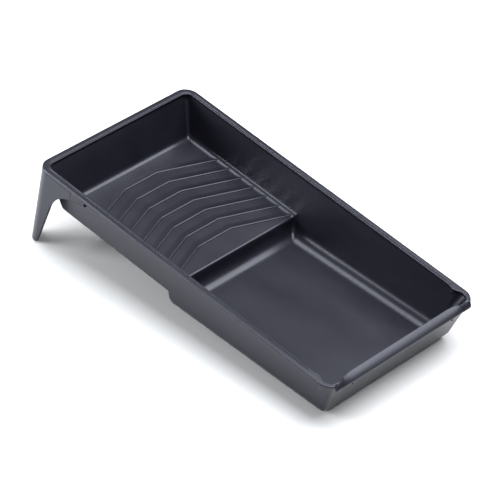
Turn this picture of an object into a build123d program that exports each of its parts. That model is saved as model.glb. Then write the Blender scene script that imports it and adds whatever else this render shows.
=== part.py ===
from build123d import *
import os
from math import asin, atan2, cos, degrees, hypot, radians, sin, tan

# A small paint roller tray: one injection moulding with a ribbed ramp at the rear, a paint well
# at the front, a rim all round, a rolled pouring lip and two legs under the rear corners.
#
# It is drawn in the rim frame: X runs from the outer edge of the rear rim to the pouring lip,
# Y runs across the tray with zero in its middle, and Z is up with zero at the top of the rim.
# It is then tipped onto its feet: the legs and the front edge of the well stand on Z = 0.

# ---- Driving dimensions, in millimetres and degrees ----

# Rim, seen from above
RIM_LENGTH = 300.0
RIM_WIDTH = 160.0
REAR_RIM_RADIUS = 11.0
FRONT_RIM_RADIUS = 13.0
RIM_THICKNESS = 2.2
RIM_EDGE_RADIUS = 0.8
LAND_WIDTH = 3.5             # flat top of the rim, outside the groove
GROOVE_WIDTH = 1.3
GROOVE_DEPTH = 0.8
BEAD_WIDTH = 1.2             # narrow ridge between the groove and the inside of the tray
INNER_CORNER_RADIUS = 6.0

# Front corners, where the inside steps outward into a pouring spout
SPOUT_START = 276.0
SPOUT_EDGE = [               # the edge of the opening on its way round the right-hand corner
    (281.8, 73.0),
    (286.3, 74.9),
    (289.0, 75.5),
    (294.2, 72.9),
    (296.1, 67.2),
    (294.7, 60.6),
]
SPOUT_END = 51.0             # the opening is straight again at this distance from the middle
SCOOP_START = 282.0          # the walls flare out under the rim to meet the spouts
SCOOP_SIDE = 57.0
SCOOP_TOP = -1.9
SCOOP_DEPTH = 17.0
SCOOP_LEAN = (-0.36, -0.30, -1.0)
LIP_HALF_LENGTH = 66.0       # the pouring lip runs this far each side of the middle

# Rolled pouring lip
LIP_INNER_EDGE = 293.4
LIP_FRONT = 300.4
LIP_DROP = 4.6
LIP_EDGE_HEIGHT = 4.0        # from the rim's top to the upper edge of the lip's front
LIP_CURVE = (297.5, -0.8)    # the lip's top curves down towards this point and on to its front

# Walls, measured on the inside just under the rim
WALL = 1.8
SIDE_DRAFT = 11.0
REAR_DRAFT = 25.5
FRONT_DRAFT = 13.0
STEP_DRAFT = 6.0
INNER_HALF_WIDTH = 73.8
INNER_REAR = 5.6
INNER_FRONT = 296.2
DRAFT_DATUM = -2.0           # height at which the three sizes above hold

# Ramp deck and paint well
DECK_DEPTH = 32.2
STEP_TOP = 133.9             # front edge of the deck
WELL_REAR_DEPTH = 47.2       # directly under the front edge of the deck
WELL_SLOPE = 3.3             # the well floor comes up towards the front by this angle
DECK_EDGE_RADIUS = 1.8       # along the front edge of the deck
DEEPEST = 60.0               # below anything on the tray, for cutting tools

# Roundings of the inside and of the outside: the upright corners and the edges of the floors
INSIDE = {"ramp corner": 3.0, "deck": 5.0, "well corner": 3.0, "well floor": 10.0}
OUTSIDE = {"ramp corner": 6.5, "deck": 3.0, "well corner": 4.5, "well floor": 12.0}

# Ribs on the ramp deck
RIB_COUNT = 7
RIB_PITCH = 13.1
FIRST_RIB = 35.4             # distance of the first rib's middle stretch from the rear edge
RIB_KNEE = 17.0              # the middle stretch runs this far each side
RIB_SWEEP = 17.2             # the ends of a rib are this much further forward
RIB_HALF_SPAN = 66.5
RIB_HEIGHT = 0.95
RIB_BACK = 2.9               # from the crest's middle to the foot of the gentle rear side
RIB_FRONT = 1.45             # from the crest's middle to the foot of the steep front side
RIB_CREST = 0.8

# Legs
LEG_LENGTH = 69.3            # from the rim's top to the front edge of the foot
LEG_THICKNESS = 2.2
FOOT_WIDTH = 11.5
FOOT_RADIUS = 3.5
LEG_WAIST_WIDTH = 18.3
LEG_WAIST_DEPTH = 32.0
ARCH_MIDDLE = (26.0, -16.0)   # distance from the corner, and height
ARCH_END = (37.0, -9.0)

# Gussets that blend each leg into the side wall: sections as (distance from the middle, height)
GUSSET_START = 33.0
GUSSET_END = 50.6
GUSSET_ROOT = 70.0           # well inside the wall, and cut back to its face
GUSSET_START_SECTION = ((80.0, -9.6), (76.5, -13.5))
GUSSET_END_SECTION = ((79.3, -5.0), (78.2, -7.6))

# Small lugs under the pouring lip that stop nested trays from jamming
LUG_THICKNESS = 1.2
LUG_DEPTH = 7.6
FRONT_LUG_Y = 54.0
FRONT_LUG_SETBACK = 0.8      # behind the front of the lip

# Where the moulding is divided into its named regions
REAR_CUT = 22.5
DECK_CUT = 128.0
SIDE_STEP_CUT = 137.0
WELL_CUT = 146.0
FRONT_CUT = 276.0
SIDE_CUT = 56.0
REAR_RIM_CUT = 12.0

BIG = 500.0                  # larger than the whole tray


def block(x_range, y_range, z_range):
    """A plain box between three pairs of limits."""
    size = [high - low for low, high in (x_range, y_range, z_range)]
    middle = [(high + low) / 2 for low, high in (x_range, y_range, z_range)]
    return Pos(*middle) * Box(*size)


def side_prism(points, half_width=BIG / 2):
    """A shape drawn in side view (x, z) and run across the tray."""
    return extrude(make_face(Plane.XZ * Polyline(points, close=True)), amount=half_width, both=True)


def plan_prism(outline, top, bottom):
    """A shape drawn from above and run down from one height to another."""
    return extrude(Pos(0, 0, bottom) * outline, amount=top - bottom, dir=(0, 0, 1))


def wall_position(at_datum, draft, height):
    """How far out a drafted wall stands at a height, given its place at the draft datum."""
    return at_datum + (height - DRAFT_DATUM) * tan(radians(draft))


# ---- Tubs: the closed shapes whose difference is the shell ----

def between_side_walls(outward):
    """Everything between the two long side walls, moved outward."""
    reach = INNER_HALF_WIDTH + outward / cos(radians(SIDE_DRAFT))
    top = wall_position(reach, SIDE_DRAFT, 0.0)
    bottom = wall_position(reach, SIDE_DRAFT, -DEEPEST)
    section = Polyline((-top, 0), (top, 0), (bottom, -DEEPEST), (-bottom, -DEEPEST), close=True)
    return extrude(make_face(Plane.YZ * section), amount=BIG, both=True)


def round_corners(solid, radius):
    """Rounds the upright corners of a tub."""
    return fillet(solid.edges().filter_by(lambda edge: abs((edge % 0.5).Z) > 0.8), radius)


def round_floor(solid, radius):
    """Rounds the edges of a tub's floor."""
    return fillet(solid.faces().sort_by(Axis.Z)[0].edges(), radius)


def rounded_tub(profile, outward, corner_radius, floor_radius):
    """A drafted tub with its corners and floor edges rounded, the larger radius first."""
    solid = side_prism(profile) & between_side_walls(outward)
    if corner_radius > floor_radius:
        return round_floor(round_corners(solid, corner_radius), floor_radius)
    return round_corners(round_floor(solid, floor_radius), corner_radius)


def ramp_tub(outward, radii):
    """The shallow rear tub, which runs on into the well."""
    floor = -DECK_DEPTH - outward
    rear = INNER_REAR - outward / cos(radians(REAR_DRAFT))
    rear_top = 2 * rear - wall_position(rear, REAR_DRAFT, 0.0)
    rear_floor = 2 * rear - wall_position(rear, REAR_DRAFT, floor)
    inside_well = (STEP_TOP + INNER_FRONT) / 2
    profile = [(rear_top, 0), (inside_well, 0), (inside_well, floor), (rear_floor, floor)]
    return rounded_tub(profile, outward, radii["ramp corner"], radii["deck"])


def well_floor_height(x, outward):
    """Height of the well floor, moved outward."""
    slope = radians(WELL_SLOPE)
    return -WELL_REAR_DEPTH - outward / cos(slope) + (x - STEP_TOP) * tan(slope)


def well_tub(outward, radii):
    """The deep front tub."""
    lean = tan(radians(STEP_DRAFT))
    step = STEP_TOP - DECK_DEPTH * lean - outward / cos(radians(STEP_DRAFT))
    front = INNER_FRONT + outward / cos(radians(FRONT_DRAFT))
    step_floor = step + WELL_REAR_DEPTH * lean
    front_depth = well_floor_height(front, outward)
    front_floor = wall_position(front, FRONT_DRAFT, front_depth)
    profile = [
        (step, 0),
        (wall_position(front, FRONT_DRAFT, 0.0), 0),
        (front_floor, well_floor_height(front_floor, outward)),
        (step_floor, well_floor_height(step_floor, outward)),
    ]
    return rounded_tub(profile, outward, radii["well corner"], radii["well floor"])


def tub(outward, radii):
    """The whole tray's shape, filled in, with its walls moved outward."""
    return ramp_tub(outward, radii) + well_tub(outward, radii)


def inner_tub():
    """The inside of the tray, with the front edge of the deck rounded."""
    solid = tub(0.0, INSIDE)
    at_deck = solid.edges().filter_by(Axis.Y).group_by(lambda edge: abs(edge.center().Z + DECK_DEPTH))[0]
    return fillet(at_deck.sort_by(Axis.X)[-1], DECK_EDGE_RADIUS)


# ---- Rim ----

def rim_outline():
    """Outer edge of the rim, from above."""
    plan = Pos(RIM_LENGTH / 2, 0) * Rectangle(RIM_LENGTH, RIM_WIDTH)
    plan = fillet(plan.vertices().group_by(Axis.X)[0], REAR_RIM_RADIUS)
    return fillet(plan.vertices().group_by(Axis.X)[-1], FRONT_RIM_RADIUS)


def opening_outline(inset):
    """Edge of the tray's opening, from above, moved towards the rim by inset."""
    half_width = RIM_WIDTH / 2 - LAND_WIDTH - GROOVE_WIDTH - BEAD_WIDTH + inset
    rear = LAND_WIDTH + GROOVE_WIDTH + BEAD_WIDTH - inset
    corner = INNER_CORNER_RADIUS + inset
    spout = [(SPOUT_START, half_width)] + SPOUT_EDGE + [(LIP_INNER_EDGE, SPOUT_END)]
    half = [
        Line((rear, 0), (rear, half_width - corner)),
        RadiusArc((rear, half_width - corner), (rear + corner, half_width), corner),
        Line((rear + corner, half_width), (SPOUT_START, half_width)),
        Spline(*spout, tangents=((1, 0), (0, -1))),
        Line((LIP_INNER_EDGE, SPOUT_END), (LIP_INNER_EDGE, 0)),
        Line((LIP_INNER_EDGE, 0), (rear, 0)),
    ]
    half_opening = make_face(Wire(half))
    return half_opening + mirror(half_opening, Plane.XZ)


def groove():
    """The groove cut into the rim's top along its rear and sides."""
    outer = opening_outline(GROOVE_WIDTH + BEAD_WIDTH)
    inner = opening_outline(BEAD_WIDTH)
    ring = plan_prism(outer, 1.0, -GROOVE_DEPTH) - plan_prism(inner, 1.0, -GROOVE_DEPTH)
    return ring & block((-BIG, SPOUT_START), (-BIG, BIG), (-BIG, BIG))


def scoops(outward):
    """Flared pockets in the two front corners that lead up to the spouts, moved outward."""
    corner = Pos(SCOOP_START + BIG / 2, SCOOP_SIDE + BIG / 2) * Rectangle(BIG, BIG)
    plan = Pos(outward, outward) * (opening_outline(0.0) & corner)
    depth = SCOOP_DEPTH * Vector(SCOOP_LEAN).length
    right = extrude(Pos(0, 0, SCOOP_TOP) * plan, amount=depth, dir=SCOOP_LEAN)
    return right + mirror(right, Plane.XZ)


def rim_ring(opening):
    """The whole rim, before it is divided."""
    ring = plan_prism(rim_outline(), 0.0, -RIM_THICKNESS)
    top_edges = ring.faces().sort_by(Axis.Z)[-1].edges()
    return fillet(top_edges, RIM_EDGE_RADIUS) - opening - groove()


def pouring_lip(outer_tub, opening):
    """The rolled lip between the two spouts, which hangs over the front wall."""
    roll = Bezier((LIP_INNER_EDGE, 0), LIP_CURVE, (LIP_FRONT, -LIP_EDGE_HEIGHT))
    skirt = Polyline(
        (LIP_INNER_EDGE, 0),
        (LIP_INNER_EDGE, -RIM_THICKNESS),
        (INNER_FRONT, -RIM_THICKNESS),
        (INNER_FRONT, -LIP_DROP),
        (LIP_FRONT, -LIP_DROP),
        (LIP_FRONT, -LIP_EDGE_HEIGHT),
    )
    section = make_face(Plane.XZ * Wire([roll] + skirt.edges()))
    roll_solid = extrude(section, amount=LIP_HALF_LENGTH, both=True)
    below_rim = block((-BIG, BIG), (-BIG, BIG), (-BIG, -RIM_THICKNESS))
    return roll_solid - (outer_tub & below_rim) - opening


# ---- Legs, lugs and ribs ----

def tilt_angle():
    """Angle, in degrees, between the rim and the table when the tray stands on its own."""
    slope = radians(WELL_SLOPE)
    radius = OUTSIDE["well floor"]
    front = INNER_FRONT + WALL / cos(radians(FRONT_DRAFT))
    bottom = well_floor_height(front, WALL)
    # the sharp corner under the front wall, where wall and floor would meet
    lean = tan(radians(FRONT_DRAFT))
    drop = (bottom - DRAFT_DATUM) / (1 - lean * tan(slope))
    corner_x = front + drop * lean
    corner_z = well_floor_height(corner_x, WALL)
    # centre of the rounding in that corner
    half_angle = radians(90 + FRONT_DRAFT + WELL_SLOPE) / 2
    towards = radians(180 + WELL_SLOPE) - half_angle
    reach = radius / sin(half_angle)
    run = corner_x + reach * cos(towards) - FOOT_WIDTH + FOOT_RADIUS
    rise = corner_z + reach * sin(towards) + LEG_LENGTH
    return degrees(atan2(rise, run) - asin(radius / hypot(run, rise)))


def table_height(x):
    """Height of the table in the rim frame."""
    return -LEG_LENGTH + (x - FOOT_WIDTH + FOOT_RADIUS) * tan(radians(tilt_angle()))


def leg_outline(toe_height):
    """A leg's flange as (distance from the corner, height): tapered, with an arched top."""
    heel = (0.0, table_height(0.0))
    toe_start = (FOOT_WIDTH - FOOT_RADIUS, toe_height)
    toe_middle = (
        toe_start[0] + FOOT_RADIUS * sin(radians(45)),
        toe_height + FOOT_RADIUS * (1 - cos(radians(45))),
    )
    toe_end = (FOOT_WIDTH, toe_height + FOOT_RADIUS)
    waist = (LEG_WAIST_WIDTH, -LEG_WAIST_DEPTH)
    return [
        Line((0.0, -RIM_THICKNESS), heel),
        Line(heel, toe_start),
        ThreePointArc(toe_start, toe_middle, toe_end),
        Line(toe_end, waist),
        ThreePointArc(waist, ARCH_MIDDLE, ARCH_END),
        Line(ARCH_END, (ARCH_END[0], -RIM_THICKNESS)),
        Line((ARCH_END[0], -RIM_THICKNESS), (0.0, -RIM_THICKNESS)),
    ]


def leg(side, outer_tub):
    """One rear leg: a curved angle section hanging from the rim's corner."""
    flank_outline = Wire(leg_outline(table_height(FOOT_WIDTH - FOOT_RADIUS)))
    rear_outline = Wire(leg_outline(table_height(0.0)))
    rear_plane = Plane((0, side * RIM_WIDTH / 2, 0), x_dir=(0, -side, 0), z_dir=(-side, 0, 0))
    flank = extrude(make_face(Plane.XZ * flank_outline), amount=BIG / 2, both=True)
    rear = extrude(make_face(rear_plane * rear_outline), amount=BIG / 2, both=True)
    skin = plan_prism(rim_outline(), -RIM_THICKNESS, -2 * DEEPEST)
    skin -= plan_prism(offset(rim_outline(), -LEG_THICKNESS), -RIM_THICKNESS, -2 * DEEPEST)
    return (skin & flank & rear) - outer_tub


def gusset(outer_tub):
    """The web on the right between a leg and the side wall, tapering towards the front."""
    sections = []
    for x, corners in ((GUSSET_START, GUSSET_START_SECTION), (GUSSET_END, GUSSET_END_SECTION)):
        outer_edge, lower_edge = corners
        points = [
            (x, GUSSET_ROOT, -RIM_THICKNESS),
            (x, outer_edge[0], -RIM_THICKNESS),
            (x, *outer_edge),
            (x, *lower_edge),
            (x, GUSSET_ROOT, lower_edge[1]),
        ]
        sections.append(make_face(Polyline(points, close=True)))
    return loft(sections, ruled=True) - outer_tub


def front_lug(outer_tub):
    """A lug under the pouring lip on the right."""
    blank = block(
        (INNER_FRONT - 2 * WALL, LIP_FRONT - FRONT_LUG_SETBACK),
        (FRONT_LUG_Y - LUG_THICKNESS / 2, FRONT_LUG_Y + LUG_THICKNESS / 2),
        (-LUG_DEPTH, -LIP_DROP),
    )
    return blank - outer_tub


def rib(number, cavity):
    """One raised rib on the deck: its middle runs straight across and its ends sweep forward."""
    middle = FIRST_RIB + number * RIB_PITCH
    stretch = RIB_HALF_SPAN + 2 * WALL
    end = middle + RIB_SWEEP * (stretch - RIB_KNEE) / (RIB_HALF_SPAN - RIB_KNEE)
    centre_line = [(end, -stretch), (middle, -RIB_KNEE), (middle, RIB_KNEE), (end, stretch)]
    foot = [(x - RIB_BACK, y) for x, y in centre_line]
    foot += [(x + RIB_FRONT, y) for x, y in reversed(centre_line)]
    crest = [(x - RIB_CREST / 2, y) for x, y in centre_line]
    crest += [(x + RIB_CREST / 2, y) for x, y in reversed(centre_line)]
    lower = Pos(0, 0, -DECK_DEPTH) * make_face(Polyline(foot, close=True))
    upper = Pos(0, 0, -DECK_DEPTH + RIB_HEIGHT) * make_face(Polyline(crest, close=True))
    return loft([lower.face(), upper.face()], ruled=True) & cavity


# ---- Dividing the moulding into named regions ----

def shell_regions(shell):
    """Cuts the shell, below the rim, into the regions that a user of the tray would name."""
    centre = (-SIDE_CUT, SIDE_CUT)
    left = (-BIG, -SIDE_CUT)
    cuts = {
        "rear_wall": ((-BIG, REAR_CUT), centre),
        "ramp_deck": ((REAR_CUT, DECK_CUT), centre),
        "step_wall": ((DECK_CUT, WELL_CUT), centre),
        "well_floor": ((WELL_CUT, FRONT_CUT), centre),
        "front_wall": ((FRONT_CUT, BIG), centre),
        "left_ramp_wall": ((-BIG, SIDE_STEP_CUT), left),
        "left_well_wall": ((SIDE_STEP_CUT, BIG), left),
    }
    height = (-BIG, -RIM_THICKNESS)
    regions = {name: shell & block(xs, ys, height) for name, (xs, ys) in cuts.items()}
    for name in ("ramp_wall", "well_wall"):
        regions[f"right_{name}"] = mirror(regions[f"left_{name}"], Plane.XZ)
    return regions


def rim_regions(ring):
    """Cuts the rim into its rear bar, its two side bars and the two spout corners."""
    everywhere = (-BIG, BIG)
    left = (-BIG, 0)
    right = (0, BIG)
    cuts = {
        "rear_rim": ((-BIG, REAR_RIM_CUT), everywhere),
        "left_rim": ((REAR_RIM_CUT, SPOUT_START), left),
        "right_rim": ((REAR_RIM_CUT, SPOUT_START), right),
        "left_spout": ((SPOUT_START, BIG), (-BIG, -LIP_HALF_LENGTH)),
        "right_spout": ((SPOUT_START, BIG), (LIP_HALF_LENGTH, BIG)),
    }
    return {name: ring & block(xs, ys, everywhere) for name, (xs, ys) in cuts.items()}


def make_tray():
    """Every named region of the tray, in the rim frame."""
    outer = tub(WALL, OUTSIDE) + scoops(WALL)
    opening = plan_prism(opening_outline(0.0), 1.0, -DEEPEST)
    cavity = (inner_tub() & opening) + scoops(0.0)
    pieces = shell_regions(outer - cavity)
    pieces.update(rim_regions(rim_ring(opening)))
    pieces["pouring_lip"] = pouring_lip(outer, opening)
    pieces["left_leg"] = leg(-1, outer)
    pieces["right_leg"] = leg(1, outer)
    web = gusset(outer) - pieces["right_leg"]
    lip_lug = front_lug(outer)
    pieces["right_leg_gusset"] = web
    pieces["left_leg_gusset"] = mirror(web, Plane.XZ)
    pieces["right_lip_lug"] = lip_lug
    pieces["left_lip_lug"] = mirror(lip_lug, Plane.XZ)
    for number in range(RIB_COUNT):
        pieces[f"rib_{number + 1}"] = rib(number, cavity)
    return pieces


def stand_on_table(pieces):
    """Tips the tray onto its feet and puts the origin under the middle of its outline."""
    tip = Rot(0, tilt_angle(), 0)
    tipped = {name: tip * piece for name, piece in pieces.items()}
    outline = Compound(children=[Compound(piece.solids()) for piece in tipped.values()])
    bounds = outline.bounding_box()
    centre = bounds.center()
    move = Pos(-centre.X, -centre.Y, -bounds.min.Z)
    return {name: move * piece for name, piece in tipped.items()}


def main():
    os.makedirs("parts", exist_ok=True)
    print("tilt of the rim:", round(tilt_angle(), 3), "degrees")
    for name, piece in stand_on_table(make_tray()).items():
        export_step(piece, f"parts/{name}.step")


main()
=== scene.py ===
import bpy
from math import cos, hypot, pi, radians, sin
from mathutils import Matrix, Vector


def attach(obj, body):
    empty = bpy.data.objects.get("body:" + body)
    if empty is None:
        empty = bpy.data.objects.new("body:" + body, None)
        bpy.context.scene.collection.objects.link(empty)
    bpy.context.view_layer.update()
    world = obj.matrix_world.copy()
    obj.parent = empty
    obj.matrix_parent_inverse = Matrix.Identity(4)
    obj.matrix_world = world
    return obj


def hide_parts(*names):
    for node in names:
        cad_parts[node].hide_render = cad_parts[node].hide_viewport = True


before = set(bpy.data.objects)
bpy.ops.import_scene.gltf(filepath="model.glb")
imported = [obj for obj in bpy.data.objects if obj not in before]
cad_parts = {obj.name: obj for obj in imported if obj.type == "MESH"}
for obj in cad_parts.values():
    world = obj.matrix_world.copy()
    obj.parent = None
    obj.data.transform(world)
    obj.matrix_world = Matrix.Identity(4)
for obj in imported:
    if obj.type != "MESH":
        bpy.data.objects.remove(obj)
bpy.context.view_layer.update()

MM = 0.001

# ---- Camera: angles in degrees, distances in metres, lens and sensor in millimetres ----
VIEW_AZIMUTH = 39.91
VIEW_ELEVATION = 36.68
VIEW_ROLL = 5.62
VIEW_DISTANCE = 2.3565
VIEW_CENTRE = Vector((0.00364, 0.0, 0.0540))
FOCAL_LENGTH = 231.9
SENSOR_WIDTH = 36.0
SHIFT_X = -0.0112
SHIFT_Y = -0.0377
NEAREST_SEEN = 0.1
FARTHEST_SEEN = 20.0

# ---- Studio: metres and watts ----
COOL_WHITE = (0.96, 0.98, 1.0)
SURROUND_STRENGTH = 0.28
FLOOR_REACH = 6.0
FLOOR_GAP = 0.0002              # the floor lies this far below the feet
FLOOR_GREY = 0.72
FLOOR_ROUGHNESS = 0.8
LIGHTS = {                      # name: (place, point that it faces, size, power)
    "overhead": ((0.28, 0.6, 1.6), (0.28, 0.6, 0.0), (1.5, 2.0), 68.0),
    "strip": ((-0.95, 0.12, 1.6), (-0.95, 0.12, 0.0), (0.5, 0.9), 14.0),
    "left": ((-1.3, -1.3, 0.55), (0.0, -0.1, 0.0), (1.0, 0.7), 48.0),
}

# ---- Plastic ----
PLASTIC_DARK = (0.0068, 0.0066, 0.0112, 1.0)
PLASTIC_LIGHT = (0.0100, 0.0102, 0.0160, 1.0)
SHINE_TINT = (0.84, 0.86, 1.0, 1.0)
COLOUR_STOPS = (0.3, 0.72)      # cloud values at which the dark and the light colour are reached
ROUGHNESS = (0.27, 0.35)        # at the two ends of the clouds' usual range
PATCH_ROUGHNESS = (-0.01, 0.01)
GRAIN_ROUGHNESS = (-0.015, 0.015)
FLOW_STRETCH = (0.45, 1.0, 1.0)  # the melt flow's clouds are longer along the tray

# ---- The tray's rim frame: X from the rear edge of the rim, Z from its top, in millimetres ----
TILT = 6.022                    # the rim slopes down towards the pouring lip by this angle
RIM_ORIGIN = (-145.537, 0.0, 69.776)
RIM_LENGTH = 300.0
HALF_WIDTH = 80.0
REAR_RADIUS = 11.0
OPENING_REAR = 6.0
OPENING_HALF_WIDTH = 74.0
OPENING_RADIUS = 6.0
DECK_HEIGHT = -32.2

# Rim section
RIM_DEPTH = 2.2
GROOVE_DEPTH = 0.8
REAR_GROOVE_DEPTH = 0.5
GROOVE_DEEPENS = (2.0, 14.0)    # from the rear's depth to the sides', by distance from the rear edge
GROOVE_FADES = (272.0, 277.0)   # the groove runs out between these distances from the rear edge

# Pouring lip
LIP_FRONT = 300.3
LIP_DEPTH = 4.6                 # of its lower edge below the rim's top
LIP_ROLL_DROP = 3.1             # how far its top curves down from the opening to the front edge
LIP_ROLL_STEPS = 13
LIP_ROLL_FADES = (72.0, 73.8)   # distances from the middle between which the roll gives way to the flat rim
LIP_TIP_STARTS = 62.0           # beyond this distance from the middle the lip stands further out
LIP_TIP = 1.1                   # by this much

# Opening beside and in front of the groove's end, for the right-hand half:
# a point on the rim's outer edge, then the point of the opening across from it
FRONT_STATIONS = [
    ((272.0, 80.0), (272.0, 74.1)),
    ((276.0, 80.0), (276.0, 74.0)),
    ((279.0, 80.0), (279.2, 73.6)),
    ((281.5, 80.0), (281.8, 73.0)),
    ((284.0, 80.0), (284.3, 73.7)),
    ((287.0, 80.0), (286.3, 74.9)),
    ((290.4, 79.6), (289.0, 75.5)),
    ((293.5, 78.3), (291.8, 74.8)),
    ((296.2, 76.2), (294.2, 72.9)),
    ((298.3, 73.5), (295.6, 70.3)),
    ((299.6, 70.4), (296.1, 67.2)),
    ((300.0, 67.0), (295.7, 64.0)),
    ((300.0, 62.5), (294.7, 60.6)),
    ((300.0, 57.0), (293.8, 56.4)),
    ((300.0, 51.0), (293.4, 51.0)),
]

# Where the rim is cut into pieces
SIDE_END = 276.0                # distance from the rear edge at which a pouring corner starts
LIP_REACH = 66.0                # the lip ends within this distance from the middle
SPOUT_REACH = 64.0              # a pouring corner runs in to this distance, inside the lip's end
NEAR = 0.01                     # room for rounding when two distances are compared

# Sections along the rim
REAR_STEPS = 12                 # along half of the rear edge
CORNER_STEPS = 12               # round a rear corner
SIDE_STEP = 3.0                 # spacing along a side
CURVE_STEPS = 4                 # between two points of FRONT_STATIONS
LIP_STEPS = 10                  # along the straight half of the lip

# Ribs
RIB_COUNT = 7
RIB_PITCH = 13.1
FIRST_RIB = 35.4
RIB_KNEE = 17.0
RIB_KNEE_EASE = 0.6             # half the length of the bend at a knee
RIB_SWEEP = 17.2
RIB_HALF_SPAN = 66.5
RIB_ARM_STATIONS = (68.3, 50.0, 33.0)  # distances from the middle, starting with the rib's end
RIB_SECTION = [                 # (distance forward of the crest, height above the deck)
    (-5.3, -0.15), (-5.0, 0.0), (-4.0, 0.05), (-3.0, 0.15), (-2.0, 0.31), (-1.2, 0.48),
    (-0.6, 0.62), (-0.2, 0.7), (0.1, 0.72), (0.35, 0.67), (0.6, 0.55), (0.85, 0.4),
    (1.0, 0.22), (1.1, 0.0), (1.25, -0.15),
]

rim_to_scene = Matrix.Translation(Vector(RIM_ORIGIN) * MM) @ Matrix.Rotation(radians(TILT), 4, "Y")


def smooth_step(value, start, end):
    """0 before start, 1 after end, and an even S-curve between them."""
    share = min(1.0, max(0.0, (value - start) / (end - start)))
    return share * share * (3 - 2 * share)


def mix(a, b, share):
    """a when share is 0, b when it is 1."""
    return a + (b - a) * share


# ---- Camera, light and floor ----

def make_camera():
    """The camera looks at the tray from above its front left corner, rolled a little."""
    azimuth, elevation = radians(VIEW_AZIMUTH), radians(VIEW_ELEVATION)
    back = Vector((sin(azimuth) * cos(elevation), -cos(azimuth) * cos(elevation), sin(elevation)))
    right = Vector((cos(azimuth), sin(azimuth), 0.0))
    up = back.cross(right)
    roll = Matrix.Rotation(radians(VIEW_ROLL), 3, back)
    right, up = roll @ right, roll @ up
    data = bpy.data.cameras.new("camera")
    data.lens = FOCAL_LENGTH
    data.sensor_width = SENSOR_WIDTH
    data.shift_x = SHIFT_X
    data.shift_y = SHIFT_Y
    data.clip_start = NEAREST_SEEN
    data.clip_end = FARTHEST_SEEN
    camera = bpy.data.objects.new("camera", data)
    bpy.context.scene.collection.objects.link(camera)
    turn = Matrix((right, up, back)).transposed().to_4x4()
    camera.matrix_world = Matrix.Translation(VIEW_CENTRE + back * VIEW_DISTANCE) @ turn
    bpy.context.scene.camera = camera


def area_light(name, place, target, size, power):
    """A soft rectangular light at a place, facing a point."""
    data = bpy.data.lights.new(name, "AREA")
    data.shape = "RECTANGLE"
    data.size, data.size_y = size
    data.energy = power
    data.color = COOL_WHITE
    light = bpy.data.objects.new(name, data)
    light.location = place
    light.rotation_mode = "QUATERNION"
    light.rotation_quaternion = (Vector(target) - Vector(place)).to_track_quat("-Z", "Y")
    bpy.context.scene.collection.objects.link(light)


def make_world():
    """An even, slightly cool studio surround."""
    world = bpy.data.worlds.new("studio")
    world.use_nodes = True
    background = world.node_tree.nodes["Background"]
    background.inputs["Color"].default_value = (*COOL_WHITE, 1.0)
    background.inputs["Strength"].default_value = SURROUND_STRENGTH
    bpy.context.scene.world = world


def make_floor():
    """A plain pale floor."""
    mesh = bpy.data.meshes.new("floor")
    reach = FLOOR_REACH
    corners = [(-reach, -reach, 0), (reach, -reach, 0), (reach, reach, 0), (-reach, reach, 0)]
    mesh.from_pydata(corners, [], [(0, 1, 2, 3)])
    floor = bpy.data.objects.new("floor", mesh)
    floor.location.z = -FLOOR_GAP
    bpy.context.scene.collection.objects.link(floor)
    material = bpy.data.materials.new("floor")
    material.use_nodes = True
    shader = material.node_tree.nodes["Principled BSDF"]
    shader.inputs["Base Color"].default_value = (FLOOR_GREY, FLOOR_GREY, FLOOR_GREY, 1.0)
    shader.inputs["Roughness"].default_value = FLOOR_ROUGHNESS
    floor.data.materials.append(material)


def make_studio():
    """Everything round the tray but the camera."""
    make_world()
    make_floor()
    for name, (place, target, size, power) in LIGHTS.items():
        area_light(name, place, target, size, power)


# ---- Material ----

def add_node(tree, kind, **inputs):
    """A shader node with some of its inputs set."""
    node = tree.nodes.new(kind)
    for name, value in inputs.items():
        node.inputs[name].default_value = value
    return node


def noise(tree, coordinates, scale, detail, roughness):
    """Noise at a number of features per metre."""
    node = add_node(tree, "ShaderNodeTexNoise", Scale=scale, Detail=detail, Roughness=roughness)
    tree.links.new(coordinates, node.inputs["Vector"])
    return node.outputs["Fac"]


def remap(tree, value, source, target):
    """Stretches a value from one range to another and holds it there."""
    node = tree.nodes.new("ShaderNodeMapRange")
    node.inputs["From Min"].default_value, node.inputs["From Max"].default_value = source
    node.inputs["To Min"].default_value, node.inputs["To Max"].default_value = target
    tree.links.new(value, node.inputs["Value"])
    return node.outputs["Result"]


def add(tree, first, second):
    """The sum of two values."""
    node = tree.nodes.new("ShaderNodeMath")
    node.operation = "ADD"
    tree.links.new(first, node.inputs[0])
    tree.links.new(second, node.inputs[1])
    return node.outputs["Value"]


def bump(tree, height, strength, distance):
    """Bump from a height, as deep as a distance in metres."""
    node = add_node(tree, "ShaderNodeBump", Strength=strength, Distance=distance)
    tree.links.new(height, node.inputs["Height"])
    return node


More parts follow.
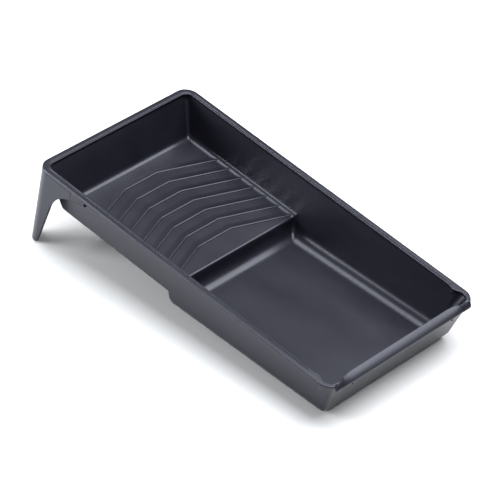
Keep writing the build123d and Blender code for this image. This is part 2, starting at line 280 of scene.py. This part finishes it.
def tray_plastic():
    """Dark grey moulded polypropylene: satin, faintly mottled, with a fine grain and flow marks."""
    material = bpy.data.materials.new("tray_plastic_look")
    material.use_nodes = True
    tree = material.node_tree
    shader = tree.nodes["Principled BSDF"]
    shader.inputs["Specular Tint"].default_value = SHINE_TINT
    place = tree.nodes.new("ShaderNodeNewGeometry").outputs["Position"]

    # melt flow: soft cloudy bands that run the length of the tray
    stretched = add_node(tree, "ShaderNodeMapping", Scale=FLOW_STRETCH)
    tree.links.new(place, stretched.inputs["Vector"])
    clouds = noise(tree, stretched.outputs["Vector"], scale=26.0, detail=4.0, roughness=0.55)
    patches = noise(tree, place, scale=55.0, detail=2.0, roughness=0.45)
    grain = noise(tree, place, scale=2600.0, detail=2.0, roughness=0.6)
    waviness = noise(tree, place, scale=45.0, detail=1.0, roughness=0.4)

    colour = tree.nodes.new("ShaderNodeValToRGB")
    stops = colour.color_ramp.elements
    stops[0].position, stops[1].position = COLOUR_STOPS
    stops[0].color, stops[1].color = PLASTIC_DARK, PLASTIC_LIGHT
    tree.links.new(clouds, colour.inputs["Fac"])
    tree.links.new(colour.outputs["Color"], shader.inputs["Base Color"])

    cloudy = remap(tree, clouds, (0.25, 0.75), ROUGHNESS)
    patchy = remap(tree, patches, (0.2, 0.8), PATCH_ROUGHNESS)
    grainy = remap(tree, grain, (0.3, 0.7), GRAIN_ROUGHNESS)
    tree.links.new(add(tree, add(tree, cloudy, patchy), grainy), shader.inputs["Roughness"])

    wave = bump(tree, waviness, strength=0.3, distance=0.00025)
    fine = bump(tree, grain, strength=0.25, distance=0.00002)
    tree.links.new(wave.outputs["Normal"], fine.inputs["Normal"])
    tree.links.new(fine.outputs["Normal"], shader.inputs["Normal"])
    return material


# ---- Meshes ----

def sharpen_ends(mesh):
    """The flat ends of a swept solid don't bend the shading of its sides."""
    ends = {key for face in mesh.polygons if len(face.vertices) > 4 for key in face.edge_keys}
    for edge in mesh.edges:
        edge.use_edge_sharp = edge.key in ends


def new_piece(name, vertices, faces, material, *replaced):
    """A smooth-shaded piece from points in the rim frame, which stands for CAD nodes."""
    mesh = bpy.data.meshes.new(name)
    mesh.from_pydata([rim_to_scene @ (Vector(point) * MM) for point in vertices], [], faces)
    mesh.validate()
    mesh.polygons.foreach_set("use_smooth", [True] * len(mesh.polygons))
    mesh.materials.append(material)
    sharpen_ends(mesh)
    piece = bpy.data.objects.new(name, mesh)
    bpy.context.scene.collection.objects.link(piece)
    weighted = piece.modifiers.new("flat faces stay flat", "WEIGHTED_NORMAL")
    weighted.keep_sharp = True
    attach(piece, "root")
    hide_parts(*replaced)
    return piece


def swept(sections):
    """Vertices and faces of a solid that joins closed sections in turn, with flat ends."""
    count = len(sections[0])
    vertices = [point for section in sections for point in section]
    faces = []
    for row in range(len(sections) - 1):
        for i in range(count):
            j = (i + 1) % count
            a, b = row * count, (row + 1) * count
            faces.append((a + i, a + j, b + j, b + i))
    last = (len(sections) - 1) * count
    faces.append(tuple(reversed(range(count))))
    faces.append(tuple(range(last, last + count)))
    return vertices, faces


# ---- Rim and pouring lip ----

def flat_section(width, groove):
    """The rim's section beside the opening: (distance in from the outer edge, height)."""
    w = width
    return [
        (w, -RIM_DEPTH), (w, -0.4), (w - 0.1, -0.13), (w - 0.35, 0.0),
        (w - 1.0, 0.0), (w - 1.14, -0.12 * groove), (w - 1.3, -groove),
        (w - 2.1, -groove), (w - 2.28, -0.15 * groove), (w - 2.5, 0.0),
        (w * 0.35 + 0.2, 0.0), (1.0, 0.0), (0.72, -0.03), (0.42, -0.13), (0.2, -0.32),
        (0.06, -0.6), (0.0, -0.95), (0.0, -1.85), (0.1, -2.1), (0.35, -RIM_DEPTH),
        (1.2, -RIM_DEPTH), (2.0, -RIM_DEPTH), (2.4, -RIM_DEPTH),
    ]


def rolled_section(width, tip):
    """The pouring lip's section, with as many points as the rim's."""
    reach = width + LIP_FRONT - RIM_LENGTH + tip
    front = width - reach
    inner_edge = [(width, -RIM_DEPTH), (width, -0.45), (width - 0.05, -0.16), (width - 0.3, -0.005)]
    roll = []
    for i in range(1, LIP_ROLL_STEPS + 1):
        share = i / LIP_ROLL_STEPS
        roll.append((width - reach * share, -LIP_ROLL_DROP * (share + share ** 2) / 2))
    skirt = [
        (front, 0.3 - LIP_DEPTH), (front + 0.06, 0.1 - LIP_DEPTH), (front + 0.3, -LIP_DEPTH),
        (2.6, -LIP_DEPTH), (3.2, 0.2 - LIP_DEPTH), (3.3, -RIM_DEPTH),
    ]
    return inner_edge + roll + skirt


def along_points(points, share):
    """A Catmull-Rom curve through 2-D points; share counts whole points."""
    i = min(int(share), len(points) - 2)
    t = share - i
    before = points[max(i - 1, 0)]
    start, end = points[i], points[i + 1]
    after = points[min(i + 2, len(points) - 1)]
    result = []
    for p0, p1, p2, p3 in zip(before, start, end, after):
        slope_in, slope_out = (p2 - p0) / 2, (p3 - p1) / 2
        result.append(
            p1 * (2 * t**3 - 3 * t**2 + 1) + slope_in * (t**3 - 2 * t**2 + t)
            + p2 * (-2 * t**3 + 3 * t**2) + slope_out * (t**3 - t**2)
        )
    return tuple(result)


def rear_stations():
    """(outer point, opening point) pairs from the middle of the rear to the end of its corner."""
    corner_y = HALF_WIDTH - REAR_RADIUS
    opening_x = OPENING_REAR + OPENING_RADIUS
    opening_y = OPENING_HALF_WIDTH - OPENING_RADIUS
    pairs = []
    for i in range(REAR_STEPS):
        y = corner_y * i / REAR_STEPS
        pairs.append(((0.0, y), (OPENING_REAR, y)))
    for i in range(CORNER_STEPS + 1):
        angle = pi - pi / 2 * i / CORNER_STEPS
        outer = (REAR_RADIUS * (1 + cos(angle)), corner_y + REAR_RADIUS * sin(angle))
        inner = (opening_x + OPENING_RADIUS * cos(angle), opening_y + OPENING_RADIUS * sin(angle))
        pairs.append((outer, inner))
    return pairs


def side_stations():
    """The pairs along a side, up to the first of FRONT_STATIONS."""
    start = OPENING_REAR + OPENING_RADIUS
    end, last_y = FRONT_STATIONS[0][1]
    steps = int((end - start) / SIDE_STEP)
    pairs = []
    for i in range(steps):
        x = mix(start, end, i / steps)
        pairs.append(((x, HALF_WIDTH), (x, mix(OPENING_HALF_WIDTH, last_y, i / steps))))
    return pairs


def front_stations():
    """The pairs round a pouring corner and on to the middle of the lip."""
    outers = [outer for outer, inner in FRONT_STATIONS]
    inners = [inner for outer, inner in FRONT_STATIONS]
    pairs = []
    for i in range((len(outers) - 1) * CURVE_STEPS + 1):
        x, y = along_points(outers, i / CURVE_STEPS)
        outer = (min(x, RIM_LENGTH), min(y, HALF_WIDTH))
        pairs.append((outer, along_points(inners, i / CURVE_STEPS)))
    lip_inner_edge, lip_half = inners[-1]
    for i in range(1, LIP_STEPS + 1):
        y = lip_half * (1 - i / LIP_STEPS)
        pairs.append(((RIM_LENGTH, y), (lip_inner_edge, y)))
    return pairs


def rim_section(outer, inner):
    """One section of the rim, as points in the rim frame."""
    x, y = outer
    run = (inner[0] - x, inner[1] - y)
    width = hypot(*run)
    inward = (run[0] / width, run[1] / width)
    depth = mix(REAR_GROOVE_DEPTH, GROOVE_DEPTH, smooth_step(x, *GROOVE_DEEPENS))
    depth *= 1 - smooth_step(x, *GROOVE_FADES)
    rolled = 0.0
    if x > RIM_LENGTH / 2:
        rolled = 1 - smooth_step(abs(y), *LIP_ROLL_FADES)
    tip = 0.0
    if rolled > 0 and abs(y) > LIP_TIP_STARTS:
        # at an angle to the lip the skirt's front still ends at LIP_FRONT
        room = (LIP_FRONT - x) / -inward[0] - (LIP_FRONT - RIM_LENGTH)
        tip = min(room, LIP_TIP)
    points = []
    for flat, roll in zip(flat_section(width, depth), rolled_section(width, tip)):
        away = mix(flat[0], roll[0], rolled)
        height = mix(flat[1], roll[1], rolled)
        points.append((x + inward[0] * away, y + inward[1] * away, height))
    return points


def left_of(pairs):
    """The same stations on the left-hand half, in the opposite order."""
    return [((ox, -oy), (ix, -iy)) for (ox, oy), (ix, iy) in reversed(pairs)]


def make_rim(material):
    """The rim in six pieces, each the CAD region of the same name."""
    rear = rear_stations()
    sides_and_front = rear[-1:] + side_stations() + front_stations()
    side = [pair for pair in sides_and_front if pair[0][0] <= SIDE_END + NEAR]
    front = [pair for pair in sides_and_front if pair[0][0] >= SIDE_END - NEAR]
    spout = [pair for pair in front if pair[0][1] >= SPOUT_REACH]
    lip = [pair for pair in front if pair[0][1] <= LIP_REACH]
    runs = {
        "rear_rim": left_of(rear)[:-1] + rear,
        "right_rim": side,
        "left_rim": left_of(side),
        "right_spout": spout,
        "left_spout": left_of(spout),
        "pouring_lip": lip + left_of(lip)[1:],
    }
    for name, pairs in runs.items():
        vertices, faces = swept([rim_section(outer, inner) for outer, inner in pairs])
        new_piece("formed_" + name, vertices, faces, material, name)


# ---- Ribs ----

def rib_sections(number):
    """Sections across a rib from its left end to its right end, mitred at the two knees."""
    middle = FIRST_RIB + number * RIB_PITCH
    slope = RIB_SWEEP / (RIB_HALF_SPAN - RIB_KNEE)
    right = [0.0, RIB_KNEE - RIB_KNEE_EASE, RIB_KNEE + RIB_KNEE_EASE, *reversed(RIB_ARM_STATIONS)]
    left = [-y for y in reversed(right[1:])]
    sections = []
    for y in left + right:
        crest = middle + max(0.0, abs(y) - RIB_KNEE) * slope
        sections.append([(crest + ahead, y, DECK_HEIGHT + up) for ahead, up in RIB_SECTION])
    return sections


def make_ribs(material):
    """The ribs, from the rear one to the one at the step."""
    for number in range(RIB_COUNT):
        vertices, faces = swept(rib_sections(number))
        name = f"rib_{number + 1}"
        new_piece("formed_" + name, vertices, faces, material, name)


# ---- The scene ----

bpy.context.scene.view_settings.view_transform = "Standard"
make_camera()
make_studio()
plastic = tray_plastic()
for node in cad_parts.values():
    node.data.materials[0] = plastic
make_rim(plastic)
make_ribs(plastic)
